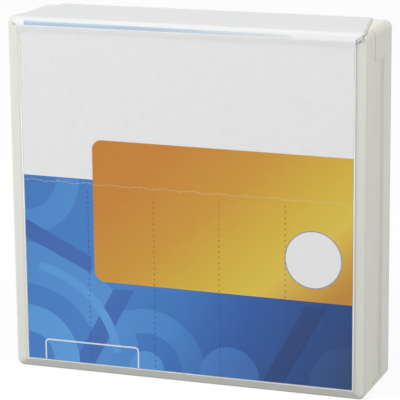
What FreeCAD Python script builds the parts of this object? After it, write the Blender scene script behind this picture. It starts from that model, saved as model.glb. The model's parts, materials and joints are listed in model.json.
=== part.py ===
import FreeCAD, Part
import math
import os

# Storage case for a half-inch tape cartridge, standing on the edge opposite its spine,
# with the cartridge inside. Millimetres. +Z up, +X to the right, the front faces -Y.
# The origin is the centre of the footprint, on the surface that the case stands on.

# Cartridge that the case is made for
cart_width = 105.4
cart_length = 105.8
cart_thickness = 25.4

# Case walls and the room that they leave round the cartridge
case_wall = 1.4
tongue_wall = 1.3
tongue_gap = 0.3
cart_clearance = 0.3
side_rib = 3.0
lean_rib = 0.85
base_rib = 3.6
top_room = 2.85
rib_thickness = 1.2
rib_end_gap = 6.0

# Case outline
corner_radius = 2.2
flat_corner = 0.4
border_side = 3.4
border_foot = 2.4
border_slope = 1.0
border_edge = 0.4
lid_side = 9.8
tray_side = 10.3
band_sink = 0.5
ear_height = 10.0
ear_gap = 0.55
base_gap = 0.3
lip_width = 2.0
lip_thickness = 1.0
tongue_reach = 6.0
tongue_foot = 3.6
swing_room = 0.8
detent_length = 6.0
detent_width = 2.4
detent_height = 0.2

# Spine and living hinges
fold_radius = 2.4
hinge_drop = 3.1
spine_side = 0.4
ear_rear = 6.5
spine_gap = 0.2
hinge_gap = 0.15
bead_inset = 0.5

# Insert card under a clear film
card_thickness = 0.3
film_thickness = 0.15
film_margin = 0.6
card_margin = 0.85
card_shift = 0.5
sleeve_gap = 0.6

# Cartridge shell
cart_corner = 2.5
cart_wall = 1.8
cart_bevel = 0.6
hub_opening = 21.0
screw_inset = 6.5
screw_low = 18.5
screw_high = 16.5
screw_boss = 3.0
screw_shank = 1.2
screw_head = 2.4
screw_head_depth = 1.4
screw_sink = 0.2
screw_length = 16.0
label_height = 15.0
label_thickness = 0.4
label_margin = 8.7

# Reel
flange_side = 3.9
flange_foot = 1.0
flange_thickness = 1.2
door_room = 7.2
tape_width = 12.65
tape_room = 0.15
tape_margin = 3.5
hub_radius = 22.0
hub_wall = 3.0
clutch_outer = 19.0
clutch_inner = 14.5
clutch_ring = 3.2
clutch_tooth = 1.5
clutch_tooth_inset = 0.3
clutch_teeth = 24
rim_teeth = 60
rim_tooth_depth = 1.2
button_radius = 3.5
running_gap = 0.3

# Reel brakes
brake_turn = 6.42
brake_post_x = 7.6
brake_post_z = 8.2
brake_post = 1.5
brake_boss = 2.8
brake_fit = 0.06
brake_arm = 2.6
brake_pawl = 3.0
brake_tip = 1.0
brake_clear = 0.15
brake_thickness = 2.4
spring_wire = 0.6

# Tape door, its lock and the write-protect slider
door_width = 38.0
door_height = 17.0
door_gap = 0.2
door_pin = 1.2
door_pin_inset = 4.6
door_boss = 2.4
door_eye = 3.0
corner_room = 0.8
leader_thickness = 0.4
leader_margin = 1.0
lock_width = 3.0
lock_thickness = 5.0
lock_play = 0.4
lock_post = 0.8
lock_foot = 1.7
lock_nose = 1.2
slider_width = 9.0
slider_travel = 5.0
slider_height = 6.0
slider_fit = 0.08
slider_inset = 14.2
slider_sink = 0.3
slider_lip = 1.5
slider_groove = 0.9

# Places that follow from the sizes
sleeve = card_thickness + film_thickness
half_width = cart_width / 2 + cart_clearance + side_rib + tongue_wall + tongue_gap + case_wall
case_width = 2 * half_width
case_depth = cart_thickness + 2 * (lean_rib + case_wall + sleeve)
cart_bottom = case_wall + base_rib
cart_top = cart_bottom + cart_length
shell_top = cart_top + top_room + case_wall
case_height = shell_top + sleeve
front = -case_depth / 2
back = case_depth / 2
shell_front = front + sleeve
shell_back = back - sleeve
lid_edge = front + lid_side
tray_edge = back - tray_side
hinge_z = case_height - hinge_drop
tongue_outer = half_width - case_wall - tongue_gap
tongue_inner = tongue_outer - tongue_wall
spine_half_hinge = half_width - border_side
spine_half_front = half_width - spine_side
spine_half_rear = half_width - ear_rear
card_half = spine_half_hinge - card_margin
card_foot = border_foot + card_margin
cart_half = cart_thickness / 2
cart_inner = cart_half - cart_wall
flange_radius = min(cart_width / 2 - cart_wall - flange_side,
                    (cart_length - door_room - flange_foot) / 2 - cart_wall)
tape_radius = flange_radius - tape_margin
reel_z = cart_bottom + cart_wall + flange_foot + flange_radius
flange_inner = tape_width / 2 + tape_room
flange_outer = flange_inner + flange_thickness
screw_tip = cart_half - screw_sink - screw_head_depth - screw_length
clutch_face = cart_half - running_gap
post_x = cart_width / 2 - brake_post_x
post_z = cart_bottom + brake_post_z
pin_x = cart_width / 2 - door_pin_inset
pin_z = cart_top - door_pin_inset
lock_x = cart_width / 2 - door_width - cart_wall - lock_width / 2
lock_z = reel_z + flange_radius + lock_post + 2 * running_gap
lock_top = cart_top - cart_wall - lock_play
slider_x = slider_inset - cart_width / 2


def vec(x, y, z):
    """Point or direction in the part's frame."""
    return FreeCAD.Vector(x, y, z)


def block(x0, x1, y0, y1, z0, z1):
    """Box between two corners."""
    return Part.makeBox(x1 - x0, y1 - y0, z1 - z0, vec(x0, y0, z0))


def rod_y(x, z, radius, y0, y1):
    """Round bar along Y."""
    return Part.makeCylinder(radius, y1 - y0, vec(x, y0, z), vec(0, 1, 0))


def rod_x(y, z, radius, x0, x1):
    """Round bar along X."""
    return Part.makeCylinder(radius, x1 - x0, vec(x0, y, z), vec(1, 0, 0))


def ring_y(x, z, outer, inner, y0, y1):
    """Tube along Y."""
    return rod_y(x, z, outer, y0, y1).cut(rod_y(x, z, inner, y0 - 1, y1 + 1))


def prism(points, direction):
    """Flat polygon pushed along a direction."""
    return Part.Face(Part.makePolygon(points + points[:1])).extrude(direction)


def prism_y(points, y0, y1):
    """Polygon of (x, z) points, from y0 to y1."""
    return prism([vec(x, y0, z) for x, z in points], vec(0, y1 - y0, 0))


def prism_x(points, x0, x1):
    """Polygon of (y, z) points, from x0 to x1."""
    return prism([vec(x0, y, z) for y, z in points], vec(x1 - x0, 0, 0))


def prism_z(points, z0, z1):
    """Polygon of (x, y) points, from z0 to z1."""
    return prism([vec(x, y, z0) for x, y in points], vec(0, 0, z1 - z0))


def round_block(x_half, y0, y1, z0, z1, radius):
    """Box centred on X whose four edges along Y are round."""
    box = block(-x_half, x_half, y0, y1, z0, z1)
    edges = [e for e in box.Edges if abs(e.tangentAt(e.FirstParameter).y) > 0.9]
    return box.makeFillet(radius, edges)


def outline_at(solid, y):
    """Edges of the flat face that lies in the plane at y."""
    return [e for e in solid.Edges if all(abs(v.Point.y - y) < 1e-6 for v in e.Vertexes)]


def envelope(inset, y0, y1):
    """Outline of the case, moved inwards by an inset."""
    radius = max(corner_radius - inset, 0.5)
    return round_block(half_width - inset, y0, y1, inset, shell_top - inset, radius)


def half_case(face_y, edge_y):
    """Block of one half of the case: its flat panel falls off to the sides along the border."""
    turn = 1 if edge_y > face_y else -1
    slope_y = face_y + turn * border_slope
    far_y = face_y + turn * case_wall
    flat = round_block(half_width - border_side, *sorted((face_y, far_y)), border_foot,
                       shell_top - border_foot, flat_corner)
    full = envelope(0, *sorted((slope_y, edge_y)))
    full = full.makeChamfer(border_edge, outline_at(full, slope_y))
    wires = [Part.Wire(Part.sortEdges(outline_at(flat, face_y))[0]),
             Part.Wire(Part.sortEdges(outline_at(full, slope_y))[0])]
    return full.fuse(Part.makeLoft(wires, True, True))


def both_sides(shape):
    """The shape and its mirror image in the plane x = 0."""
    return [shape, shape.mirror(vec(0, 0, 0), vec(1, 0, 0))]


# Spine, hinges and the pieces that fold with it


def spine_field(margin, z0):
    """Space over the case between the ears: it narrows to the back and to the front hinge."""
    far = back - front
    top = case_height + 1
    slope = (spine_half_front - spine_half_hinge) / (shell_top - hinge_z)
    widest = spine_half_front + slope * (top - shell_top) + margin
    lowest = spine_half_hinge - slope * (hinge_z - z0) + margin
    rear = spine_half_rear + margin
    wide = spine_half_front + margin
    taper = (wide - rear) / far
    plan = prism_z([(-wide - taper, front - 1), (wide + taper, front - 1),
                    (rear - taper, back + 1), (-rear + taper, back + 1)], z0, top)
    face = prism_y([(-lowest, z0), (lowest, z0), (widest, top), (-widest, top)], front - 2, back + 2)
    return plan.common(face)


def fold_layer(outer, inner, rear_y, foot_z):
    """Sheet over the top that turns down the front, between two depths from the surface."""
    bend_y = front + fold_radius
    bend_z = case_height - fold_radius
    slant = math.sqrt(0.5)
    big = fold_radius - outer
    small = fold_radius - inner
    outer_y = front + outer
    inner_y = front + inner
    outer_z = case_height - outer
    inner_z = case_height - inner
    x = -half_width
    edges = [
        Part.LineSegment(vec(x, rear_y, outer_z), vec(x, bend_y, outer_z)),
        Part.Arc(vec(x, bend_y, outer_z), vec(x, bend_y - big * slant, bend_z + big * slant),
                 vec(x, outer_y, bend_z)),
        Part.LineSegment(vec(x, outer_y, bend_z), vec(x, outer_y, foot_z)),
        Part.LineSegment(vec(x, outer_y, foot_z), vec(x, inner_y, foot_z)),
        Part.LineSegment(vec(x, inner_y, foot_z), vec(x, inner_y, bend_z)),
        Part.Arc(vec(x, inner_y, bend_z), vec(x, bend_y - small * slant, bend_z + small * slant),
                 vec(x, bend_y, inner_z)),
        Part.LineSegment(vec(x, bend_y, inner_z), vec(x, rear_y, inner_z)),
        Part.LineSegment(vec(x, rear_y, inner_z), vec(x, rear_y, outer_z)),
    ]
    wire = Part.Wire([edge.toShape() for edge in edges])
    return Part.Face(wire).extrude(vec(case_width, 0, 0))


def mitre(side, gap):
    """Wedge on one side of the slanting plane through the rear hinge line.

    A side of +1 is the wedge on the back panel, -1 the wedge on the spine.
    """
    shift = -side * gap
    reach = 6.0
    low = (shell_back - reach, shell_top - reach + shift)
    high = (shell_back + 2, shell_top + 2 + shift)
    corner = (high[0], low[1] - 2) if side > 0 else (low[0] - 2, high[1])
    return prism_x([low, high, corner], -half_width - 1, half_width + 1)


def bead(axis_y, axis_z, half, radius):
    """Round web of a living hinge."""
    return rod_x(axis_y, axis_z, radius, -half, half)


def hinge_web_rear():
    """Hinge line between the spine and the tray."""
    return bead(shell_back, shell_top, spine_half_rear - bead_inset, sleeve)


def hinge_web_front():
    """Hinge line between the spine and the lid."""
    return bead(shell_front, hinge_z, spine_half_hinge - bead_inset, sleeve)


def case_spine():
    """Top panel with its round front fold."""
    panel = fold_layer(sleeve, sleeve + case_wall, shell_back, hinge_z + hinge_gap)
    panel = panel.common(spine_field(0, hinge_z - 1))
    panel = panel.cut(mitre(1, hinge_gap))
    return panel.cut([hinge_web_rear(), hinge_web_front()])


def card_spine():
    """Part of the insert card that lies over the spine."""
    sheet = fold_layer(film_thickness, sleeve, shell_back - sleeve_gap, hinge_z + sleeve_gap)
    return sheet.common(spine_field(-film_margin, hinge_z - 1))


def film_spine():
    """Part of the clear film that covers the spine and its card."""
    sheet = fold_layer(0, sleeve, shell_back - sleeve_gap, hinge_z + sleeve_gap)
    return sheet.common(spine_field(0, hinge_z - 1)).cut(card_spine())


# Lid


def case_lid():
    """Front panel with its side walls, its foot wall and the two front ears."""
    shell = half_case(shell_front, lid_edge)
    shell = shell.cut(envelope(case_wall, shell_front + case_wall, lid_edge + 1))
    shell = shell.cut(spine_field(spine_gap, hinge_z - hinge_gap))
    shell = shell.cut(bead(shell_front, hinge_z, half_width, sleeve + hinge_gap))
    lips = closing_lips(front + fold_radius + spine_gap, lid_edge)
    return shell.fuse([lips] + lid_ribs()).removeSplitter()


def closing_lips(y0, y1):
    """Ledges under the sloping edges of the spine, one on each side, between two depths."""
    top = shell_top - case_wall - spine_gap
    ledge = block(-half_width + case_wall / 2, half_width - case_wall / 2, y0, y1,
                  top - lip_thickness, top)
    return ledge.cut(spine_field(-lip_width, top - 2 * lip_thickness))


def lid_ribs():
    """Two upright ribs that stop just short of the cartridge."""
    y0 = shell_front + case_wall - 0.2
    y1 = -cart_half - cart_clearance
    z0 = cart_bottom + 2 * rib_end_gap
    z1 = cart_top - 2 * rib_end_gap
    rib = block(cart_width / 4, cart_width / 4 + rib_thickness, y0, y1, z0, z1)
    return both_sides(rib)


def card_front():
    """Front panel of the insert card, which has slid a little to one side in its film."""
    return block(card_shift - card_half, card_shift + card_half, front + film_thickness, shell_front,
                 card_foot, hinge_z - sleeve_gap)


def film_front():
    """Clear film over the front card, welded to the lid along its edges."""
    half = spine_half_hinge
    sheet = block(-half, half, front, shell_front, border_foot, hinge_z - sleeve_gap)
    return sheet.cut(card_front())


# Tray


def tray_walls():
    """Back panel with its side, foot and ear walls."""
    shell = half_case(shell_back, tray_edge)
    shell = shell.cut(envelope(case_wall, tray_edge - 1, shell_back - case_wall))
    base_y = lid_edge + base_gap
    ear_y = lid_edge + ear_gap
    foot = envelope(0, base_y, tray_edge).cut(envelope(case_wall, base_y - 1, tray_edge + 1))
    ears = foot.cut(block(-half_width, half_width, base_y - 1, ear_y, 0, case_height))
    foot = foot.common(block(-half_width, half_width, base_y, tray_edge, 0, corner_radius))
    ears = ears.common(block(-half_width, half_width, ear_y, tray_edge,
                             shell_top - ear_height, shell_top))
    lips = closing_lips(ear_y, shell_back - case_wall / 2)
    return shell.fuse([foot, ears, lips])


def tray_bands():
    """Middle band of each side wall, a little below the surface, from the foot up to the ears."""
    ear_y = lid_edge + ear_gap
    band = block(tongue_outer - case_wall / 2, half_width - band_sink, ear_y, tray_edge + case_wall,
                 corner_radius - case_wall / 2, shell_top - ear_height + case_wall / 2)
    return both_sides(band)


def tray_tongue():
    """Inner side wall that the lid closes over, cut back where the lid's ear swings.

    Two shallow ridges on it hold the lid shut.
    """
    notch_z = hinge_z - lid_side - swing_room
    step_y = tray_edge + case_wall
    ear_y = lid_edge + ear_gap
    base_y = lid_edge + base_gap
    low = block(tongue_inner, tongue_outer, lid_edge - tongue_reach, step_y,
                case_wall + tongue_foot, notch_z)
    high = block(tongue_inner, tongue_outer, ear_y, step_y, notch_z, shell_top - case_wall / 2)
    root = block(tongue_inner, tongue_outer, base_y, step_y, case_wall / 2, case_wall + tongue_foot)
    step = block(tongue_inner, half_width - case_wall / 2, tray_edge, step_y,
                 corner_radius, shell_top - corner_radius)
    side = low.fuse([high, root, step])
    middle = lid_edge - tongue_reach / 2
    sunk = tongue_outer - detent_height
    crest = tongue_outer + detent_height
    for z in (case_height / 4, case_height * 3 / 4):
        detent = prism_z([(sunk, middle - detent_width), (crest, middle), (sunk, middle + detent_width)],
                         z - detent_length / 2, z + detent_length / 2)
        side = side.fuse(detent)
    return both_sides(side)


def tray_ribs():
    """Ribs that the cartridge stands on, leans on and sits between."""
    y1 = shell_back - case_wall + 0.2
    ribs = []
    for x in (-cart_width / 3, 0, cart_width / 3):
        ribs.append(block(x, x + rib_thickness, lid_edge + base_gap + 1, y1,
                          case_wall - 0.2, cart_bottom))
    lean = block(cart_width / 4, cart_width / 4 + rib_thickness, cart_half, y1,
                 cart_bottom + rib_end_gap, cart_top - rib_end_gap)
    ribs += both_sides(lean)
    for z in (case_height / 4, case_height / 2, case_height * 3 / 4):
        side = block(cart_width / 2 + cart_clearance, tongue_inner + 0.2, lid_edge + ear_gap, y1,
                     z, z + rib_thickness)
        ribs += both_sides(side)
    return ribs


def case_tray():
    """Rear half of the case."""
    tray = tray_walls().fuse(tray_bands() + tray_tongue() + tray_ribs())
    gate = spine_field(spine_gap, shell_top - case_wall - spine_gap)
    tray = tray.cut(gate.cut(mitre(1, -hinge_gap)))
    tray = tray.cut(mitre(-1, -hinge_gap).common(spine_field(spine_gap, shell_top - 3 * case_wall)))
    tray = tray.cut(bead(shell_back, shell_top, spine_half_rear + spine_gap, sleeve + hinge_gap))
    return tray.removeSplitter()


def card_back():
    """Back panel of the insert card."""
    half = spine_half_rear - film_margin
    return block(-half, half, shell_back, back - film_thickness,
                 card_foot, shell_top - sleeve_gap)


def film_back():
    """Clear film over the back card."""
    sheet = block(-spine_half_rear, spine_half_rear, shell_back, back,
                  border_foot, shell_top - sleeve_gap)
    return sheet.cut(card_back())


# Cartridge shell


def cart_outline(inset, y0, y1):
    """Outline of the cartridge, moved inwards by an inset."""
    radius = max(cart_corner - inset, 0.5)
    return round_block(cart_width / 2 - inset, y0, y1, cart_bottom + inset, cart_top - inset, radius)


def screw_places():
    """Centres of the four shell screws."""
    x = cart_width / 2 - screw_inset
    low = cart_bottom + screw_low
    high = cart_top - screw_high
    return [(-x, low), (x, low), (-x, high), (x, high)]


def door_space(gap):
    """Opening that the tape door closes, in the end wall and round the corner."""
    x1 = cart_width / 2
    y = door_height / 2 + gap
    depth = cart_wall + corner_room
    end = block(x1 - door_width - gap, x1 + 1, -y, y, cart_top - depth, cart_top + 1)
    side = block(x1 - depth, x1 + 1, -y, y, cart_top - 2 * door_pin_inset - gap, cart_top + 1)
    return end.fuse(side)


def slider_window(gap):
    """Slot for the write-protect slider in the label end."""
    return block(slider_x - gap, slider_x + slider_width + slider_travel + gap,
                 -slider_height / 2 - gap, slider_height / 2 + gap,
                 cart_bottom - 1, cart_bottom + cart_wall + 1)


def label_space():
    """Shallow recess for the label in the label end."""
    x0 = slider_x + slider_width + slider_travel + label_margin
    return block(x0, cart_width / 2 - label_margin, -label_height / 2, label_height / 2,
                 cart_bottom - 1, cart_bottom + label_thickness)


def cart_half_shell(side):
    """One half of the cartridge shell: +1 is the hub side at the back, -1 the cover."""
    outer = cart_half * side
    inner = cart_inner * side
    y0, y1 = sorted((0, outer))
    p0, p1 = sorted((-side, inner))
    shell = cart_outline(0, y0, y1)
    shell = shell.makeChamfer(cart_bevel, outline_at(shell, outer))
    shell = shell.cut(cart_outline(cart_wall, p0, p1))
    posts = [block(x - screw_boss, x + screw_boss, *sorted((0, inner + side * 0.2)),
                   z - screw_boss, z + screw_boss) for x, z in screw_places()]
    shell = shell.fuse(posts)
    return shell.cut([door_space(door_gap), slider_window(slider_fit), label_space()])


def cartridge_base():
    """Hub-side half, with the round opening for the drive's clutch and the screw holes."""
    shell = cart_half_shell(1)
    posts = [rod_y(x, post_z, brake_post, flange_outer - brake_thickness - 1, cart_inner + 0.2)
             for x in (-post_x, post_x)]
    posts.append(rod_y(lock_x, lock_z, lock_post, -lock_thickness / 2, cart_inner + 0.2))
    shell = shell.fuse(posts)
    shell = shell.cut(rod_y(0, reel_z, hub_opening, cart_inner - 2, cart_half + 1))
    holes = []
    for x, z in screw_places():
        holes.append(rod_y(x, z, screw_shank, -1, cart_half))
        holes.append(screw_cone(x, z, screw_sink + 1))
    return shell.cut(holes).removeSplitter()


def screw_cone(x, z, reach):
    """Countersunk screw head, or with a reach beyond its top the recess that it sits in."""
    slope = (screw_head - screw_shank) / screw_head_depth
    base = vec(x, cart_half - screw_sink - screw_head_depth, z)
    return Part.makeCone(screw_shank, screw_head + slope * reach, screw_head_depth + reach,
                         base, vec(0, 1, 0))


def cartridge_cover():
    """Other half, with blind screw holes and a seat for the reel's thrust button."""
    shell = cart_half_shell(-1)
    seat = ring_y(0, reel_z, button_radius + 2, button_radius + running_gap,
                  -cart_inner - 0.2, -cart_inner + 1)
    holes = [rod_y(x, z, screw_shank, screw_tip, 1) for x, z in screw_places()]
    return shell.fuse(seat).cut(holes).removeSplitter()


def shell_screws():
    """Four screws that hold the shell halves together."""
    screws = []
    for x, z in screw_places():
        shank = rod_y(x, z, screw_shank, screw_tip, screw_tip + screw_length)
        screws.append(shank.fuse(screw_cone(x, z, 0)))
    return Part.makeCompound(screws)


def cartridge_label():
    """Plain label in its recess."""
    space = label_space().BoundBox
    return block(space.XMin, space.XMax, space.YMin, space.YMax,
                 cart_bottom, cart_bottom + label_thickness)


# Reel


def rim_outline():
    """Points of the toothed rim; a gap between teeth faces each brake."""
    points = []
    pitch = 2 * math.pi / rim_teeth
    root = flange_radius - rim_tooth_depth
    for tooth in range(rim_teeth):
        middle = -math.pi / 2 + tooth * pitch
        for share, radius in ((-0.32, root), (-0.2, flange_radius), (0.2, flange_radius), (0.32, root)):
            angle = middle + share * pitch
            points.append((radius * math.cos(angle), reel_z + radius * math.sin(angle)))
    return points


def reel_hub():
    """Hub with its toothed rim flange and the face clutch at the back."""
    rim = prism_y(rim_outline(), flange_inner, flange_outer)
    barrel = rod_y(0, reel_z, hub_radius, -flange_inner, flange_inner + 0.01)
    neck = rod_y(0, reel_z, clutch_outer, flange_inner, clutch_face - clutch_tooth)
    bore = rod_y(0, reel_z, hub_radius - hub_wall, -flange_outer, flange_inner - hub_wall)
    well = rod_y(0, reel_z, clutch_inner, clutch_face - clutch_ring - clutch_tooth, cart_half)
    hub = rim.fuse([barrel, neck]).cut([bore, well])
    floor_y = flange_inner - hub_wall
    stem = rod_y(0, reel_z, button_radius, -flange_outer, floor_y + 0.2)
    tooth = block(clutch_inner + clutch_tooth_inset, clutch_outer - clutch_tooth_inset,
                  clutch_face - clutch_tooth - 0.2, clutch_face,
                  reel_z - clutch_tooth / 2, reel_z + clutch_tooth / 2)
    teeth = []
    for index in range(clutch_teeth):
        copy = tooth.copy()
        copy.rotate(vec(0, 0, reel_z), vec(0, 1, 0), index * 360 / clutch_teeth)
        teeth.append(copy)
    return hub.fuse([stem] + teeth)


def reel_flange():
    """Plain flange welded to the other end of the hub."""
    return ring_y(0, reel_z, flange_radius, hub_radius - hub_wall, -flange_outer, -flange_inner)


def tape_pack():
    """Wound tape between the flanges."""
    return ring_y(0, reel_z, tape_radius, hub_radius, -tape_width / 2, tape_width / 2)


def thrust_button():
    """Button that centres the reel in its seat in the cover."""
    return rod_y(0, reel_z, button_radius, running_gap - cart_inner, -flange_outer)


def tape_leader():
    """Strap that runs from the tape pack to the door."""
    x0 = tape_radius * 0.72
    z0 = reel_z + math.sqrt(tape_radius ** 2 - x0 ** 2) + running_gap
    x1 = pin_x - door_boss - leader_margin
    z1 = cart_top - cart_wall - door_boss
    points = [(x0, z0), (x1, z1), (x1, z1 + leader_thickness), (x0, z0 + leader_thickness)]
    return prism_y(points, leader_margin - tape_width / 2, tape_width / 2 - leader_margin)


# Brakes


def brake_lever():
    """Right-hand lever: a boss on its post, an arm and a pawl that points at the rim."""
    pitch = 2 * math.pi / rim_teeth
    angle = -math.pi / 2 + brake_turn * pitch
    reach = flange_radius + brake_clear
    tip_x = reach * math.cos(angle)
    tip_z = reel_z + reach * math.sin(angle)
    back_x = tip_x + brake_pawl * math.cos(angle)
    back_z = tip_z + brake_pawl * math.sin(angle)
    side_x = -math.sin(angle)
    side_z = math.cos(angle)
    y1 = flange_outer
    y0 = y1 - brake_thickness
    run_x = post_x - back_x
    run_z = post_z - back_z
    length = math.hypot(run_x, run_z)
    off_x = -run_z / length * brake_arm / 2
    off_z = run_x / length * brake_arm / 2
    arm = prism_y([(back_x + off_x, back_z + off_z), (post_x + off_x, post_z + off_z),
                   (post_x - off_x, post_z - off_z), (back_x - off_x, back_z - off_z)], y0, y1)
    pawl = prism_y([(tip_x + side_x * brake_tip / 2, tip_z + side_z * brake_tip / 2),
                    (tip_x - side_x * brake_tip / 2, tip_z - side_z * brake_tip / 2),
                    (back_x - side_x * brake_tip, back_z - side_z * brake_tip),
                    (back_x + side_x * brake_tip, back_z + side_z * brake_tip)], y0, y1)
    boss = rod_y(post_x, post_z, brake_boss, y0, y1)
    hole = rod_y(post_x, post_z, brake_post + brake_fit, y0 - 1, y1 + 1)
    return boss.fuse([arm, pawl]).cut(hole).removeSplitter()


def brake_springs():
    """Coils round the two posts, behind the levers."""
    coil = ring_y(post_x, post_z, brake_post + brake_fit + spring_wire, brake_post + brake_fit,
                  flange_outer + running_gap, cart_inner - running_gap)
    return Part.makeCompound(both_sides(coil))


# Door, lock and slider


def cartridge_door():
    """Corner door over the tape opening, with two eyes for its pin."""
    x1 = cart_width / 2
    y = door_height / 2
    solid = cart_outline(0, -y, y).cut(cart_outline(cart_wall, -y - 1, y + 1))
    door = solid.common(door_space(0))
    eyes = []
    for y0 in (-y, y - door_eye):
        eye = rod_y(pin_x, pin_z, door_boss, y0, y0 + door_eye)
        web = block(pin_x, x1 - cart_wall + 0.1, y0, y0 + door_eye,
                    pin_z - door_boss, pin_z + door_boss)
        eyes += [eye, web]
    door = door.fuse(eyes)
    return door.cut(rod_y(pin_x, pin_z, door_pin + brake_fit, -cart_half, cart_half)).removeSplitter()


def door_pin_bar():
    """Steel pin of the door, held between the shell halves."""
    return rod_y(pin_x, pin_z, door_pin, -cart_inner, cart_inner)


def door_spring():
    """Coil that closes the door."""
    y = door_height / 2 - door_eye - running_gap
    return ring_y(pin_x, pin_z, door_pin + brake_fit + spring_wire, door_pin + brake_fit, -y, y)


def door_lock():
    """Small lever beside the door, on its own post."""
    x1 = lock_x + lock_width / 2
    half = lock_thickness / 2
    bar = block(lock_x - lock_width / 2, x1, -half, half, lock_z - lock_foot, lock_top)
    nose = prism_y([(x1 - 0.1, lock_top - lock_nose), (x1 + lock_nose, lock_top - lock_nose),
                    (x1 + lock_nose / 3, lock_top), (x1 - 0.1, lock_top)], -half, half)
    return bar.fuse(nose).cut(rod_y(lock_x, lock_z, lock_post + brake_fit, -half - 1, half + 1))


def write_protect_slider():
    """Slider in the slot of the label end, with a finger groove and a foot inside the wall."""
    x1 = slider_x + slider_width
    half = slider_height / 2
    wall_z = cart_bottom + cart_wall
    body = block(slider_x, x1, -half, half, cart_bottom + slider_sink, wall_z)
    foot = block(slider_x - slider_lip, x1 + slider_lip, -half - slider_lip, half + slider_lip,
                 wall_z + slider_fit, wall_z + slider_fit + cart_wall / 2)
    neck = block(slider_x + 1, x1 - 1, 1 - half, half - 1, wall_z - slider_fit, wall_z + 2 * slider_fit)
    groove = block(slider_x + slider_width / 3, x1 - slider_width / 3, -half - 1, half + 1,
                   cart_bottom, cart_bottom + slider_groove)
    return body.fuse([foot, neck]).cut(groove).removeSplitter()


def mirrored(shape):
    """Left-hand copy of a right-hand piece."""
    return shape.mirror(vec(0, 0, 0), vec(1, 0, 0))


def build():
    """All pieces by node name."""
    return {
        "case_tray": case_tray(),
        "case_spine": case_spine(),
        "case_lid": case_lid(),
        "hinge_web_rear": hinge_web_rear(),
        "hinge_web_front": hinge_web_front(),
        "card_front": card_front(),
        "card_spine": card_spine(),
        "card_back": card_back(),
        "film_front": film_front(),
        "film_spine": film_spine(),
        "film_back": film_back(),
        "cartridge_base": cartridge_base(),
        "cartridge_cover": cartridge_cover(),
        "shell_screws": shell_screws(),
        "cartridge_label": cartridge_label(),
        "cartridge_door": cartridge_door(),
        "door_pin": door_pin_bar(),
        "door_spring": door_spring(),
        "door_lock": door_lock(),
        "write_protect_slider": write_protect_slider(),
        "reel_hub": reel_hub(),
        "reel_flange": reel_flange(),
        "tape_pack": tape_pack(),
        "tape_leader": tape_leader(),
        "thrust_button": thrust_button(),
        "brake_lever_right": brake_lever(),
        "brake_lever_left": mirrored(brake_lever()),
        "brake_springs": brake_springs(),
    }


def main():
    """Write each piece and report its shape."""
    os.makedirs("parts", exist_ok=True)
    for node, shape in build().items():
        shape.exportStep(f"parts/{node}.step")
        box = shape.BoundBox
        print(f"{node}: solids {len(shape.Solids)}, valid {shape.isValid()}, "
              f"volume {shape.Volume:.1f}, x {box.XMin:.2f} {box.XMax:.2f}, "
              f"y {box.YMin:.2f} {box.YMax:.2f}, z {box.ZMin:.2f} {box.ZMax:.2f}")


if __name__ == "__main__":
    main()
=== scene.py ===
"""Looks of a book-style storage case with a half-inch tape cartridge inside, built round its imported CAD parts."""

import json
import logging
import math
from dataclasses import dataclass
from enum import Enum, IntEnum

import bpy
import numpy as np
from bpy.types import Material, Node, NodeSocket, NodeTree, Object
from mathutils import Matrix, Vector

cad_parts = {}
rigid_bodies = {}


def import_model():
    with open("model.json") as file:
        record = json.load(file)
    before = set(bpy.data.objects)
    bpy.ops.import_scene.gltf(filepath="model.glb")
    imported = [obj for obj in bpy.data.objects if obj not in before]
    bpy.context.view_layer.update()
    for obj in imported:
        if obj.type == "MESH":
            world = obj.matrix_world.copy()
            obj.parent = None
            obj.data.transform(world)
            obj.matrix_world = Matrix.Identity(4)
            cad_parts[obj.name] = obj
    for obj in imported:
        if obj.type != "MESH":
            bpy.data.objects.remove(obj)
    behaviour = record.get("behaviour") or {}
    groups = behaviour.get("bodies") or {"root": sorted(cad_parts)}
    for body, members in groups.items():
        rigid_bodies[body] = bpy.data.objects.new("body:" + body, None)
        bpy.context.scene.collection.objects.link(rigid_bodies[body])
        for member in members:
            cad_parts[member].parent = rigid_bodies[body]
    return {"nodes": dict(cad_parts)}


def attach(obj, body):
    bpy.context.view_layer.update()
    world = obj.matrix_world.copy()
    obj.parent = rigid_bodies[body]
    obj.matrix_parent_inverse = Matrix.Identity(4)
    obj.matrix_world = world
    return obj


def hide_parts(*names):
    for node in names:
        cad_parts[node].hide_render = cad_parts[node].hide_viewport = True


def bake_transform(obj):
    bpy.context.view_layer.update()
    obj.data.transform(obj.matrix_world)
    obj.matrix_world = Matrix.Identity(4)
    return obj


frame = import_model()

MM = 0.001
LOG = logging.getLogger("tape_case")
MOST_SLOPE = 0.45
BEND_RADIUS = 2.25
BEND_DEPTH = 13.0
BEND_FOOT = 113.1
SWELL_REACH = 1.2
VARNISH = {"Specular IOR Level": 0.2, "Coat Weight": 0.1, "Coat Roughness": 0.06}
Colour = tuple[float, float, float, float]


class Body(Enum):
    """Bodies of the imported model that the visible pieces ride."""

    TRAY = "tray"
    SPINE = "spine"
    LID = "lid"


class Slot(Enum):
    """Material slots of the record, listed beside the front fold's sheets; nothing reads them."""

    CASE = "case_plastic"
    CARD = "insert_card"
    FILM = "clear_film"
    CARTRIDGE = "cartridge_plastic"


class Layer(IntEnum):
    """Layers of the print on the front of the card, counted outwards."""

    FIELD = 1
    WIDE_RINGS = 2
    FOOT_RING = 3
    BARS = 4
    SLIM_RINGS = 5
    PANEL = 6
    DISC_RIM = 7
    DISC = 8
    TORN_EDGE = 9
    PERFORATIONS = 10
    TAB = 11


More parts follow.
